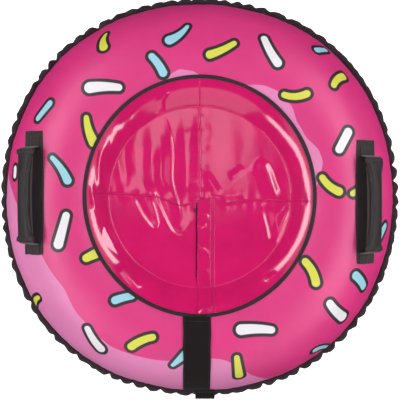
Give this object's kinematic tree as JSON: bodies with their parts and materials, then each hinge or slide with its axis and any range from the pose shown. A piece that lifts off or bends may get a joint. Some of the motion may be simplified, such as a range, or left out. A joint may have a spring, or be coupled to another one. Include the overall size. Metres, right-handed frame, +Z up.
{
  "type": "towable tube",
  "caption": "Ride-on towable tube: round inflated ring in a sewn printed cover with a dished zipped seat, two padded handles and a tow loop.",
  "frame": {"origin": "on the ground, under the middle of the tube", "axes": "+Z up, +X to the rider's right, -Y towards the tow loop"},
  "size_m": [0.8999, 0.9138, 0.3019],
  "materials": {
    "printed_fabric": "satin coated polyester, printed with sprinkles",
    "pink_vinyl": "glossy coated tarpaulin",
    "black_binding": "woven binding tape",
    "black_webbing": "woven webbing",
    "black_grip": "padded woven sleeve",
    "grey_foam": "closed-cell foam",
    "black_rubber": "smooth rubber",
    "valve_brass": "turned",
    "cap_plastic": "moulded",
    "zip_plastic": "moulded",
    "zip_metal": "black enamel"
  },
  "bodies": {
    "cover": {"inner_tube": "black_rubber", "valve_base": "black_rubber", "valve_stem": "valve_brass", "valve_core": "valve_brass", "valve_pin": "valve_brass", "bottom_panel": "pink_vinyl", "bottom_cover": "pink_vinyl", "top_cover": "printed_fabric", "rim_binding": "black_binding", "seat_back_right": "pink_vinyl", "seat_back_left": "pink_vinyl", "seat_front_left": "pink_vinyl", "seat_front_right": "pink_vinyl", "seat_binding": "black_binding", "zip_tape_left": "black_webbing", "zip_tape_right": "black_webbing", "zip_teeth_left": "zip_plastic", "zip_teeth_right": "zip_plastic", "zip_stops": "zip_metal", "zip_flap_end": "pink_vinyl", "left_handle_base": "black_webbing", "right_handle_base": "black_webbing", "tow_strap": "black_webbing"},
    "slider": {"zip_slider": "zip_metal"},
    "pull": {"zip_pull": "zip_metal"},
    "flap": {"zip_flap": "pink_vinyl"},
    "left_handle": {"left_handle_strap": "black_webbing", "left_grip_foam": "grey_foam", "left_grip_sleeve": "black_grip"},
    "right_handle": {"right_handle_strap": "black_webbing", "right_grip_foam": "grey_foam", "right_grip_sleeve": "black_grip"},
    "tow_loop": {"tow_loop": "black_webbing"},
    "valve_cap": {"valve_cap": "cap_plastic"}
  },
  "joints": [
    {"name": "zip_slide", "type": "slide", "parent": "cover", "child": "slider", "axis": [0, -1, 0], "range_m": [0, 0.134]},
    {"name": "pull_swing", "type": "hinge", "parent": "slider", "child": "pull", "pos_m": [-0.0056, -0.029, 0.23274], "axis": [0, 1, 0], "range_deg": [0, 85]},
    {"name": "flap_lift", "type": "hinge", "parent": "cover", "child": "flap", "pos_m": [0.0235, -0.0895, 0.23034], "axis": [0, 1, 0], "range_deg": [0, 120]},
    {"name": "left_handle_swing", "type": "hinge", "parent": "cover", "child": "left_handle", "pos_m": [-0.36332, 0.004, 0.25747], "axis": [0, 1, 0], "range_deg": [-35, 35]},
    {"name": "right_handle_swing", "type": "hinge", "parent": "cover", "child": "right_handle", "pos_m": [0.36332, -0.016, 0.25747], "axis": [0, 1, 0], "range_deg": [-35, 35]},
    {"name": "tow_loop_swing", "type": "hinge", "parent": "cover", "child": "tow_loop", "pos_m": [0.012, -0.453, 0.1366], "axis": [-1, 0, 0], "range_deg": [0, 150]},
    {"name": "valve_cap_pull", "type": "slide", "parent": "cover", "child": "valve_cap", "axis": [0.342, 0.9397, 0], "range_m": [0, 0.02]}
  ]
}
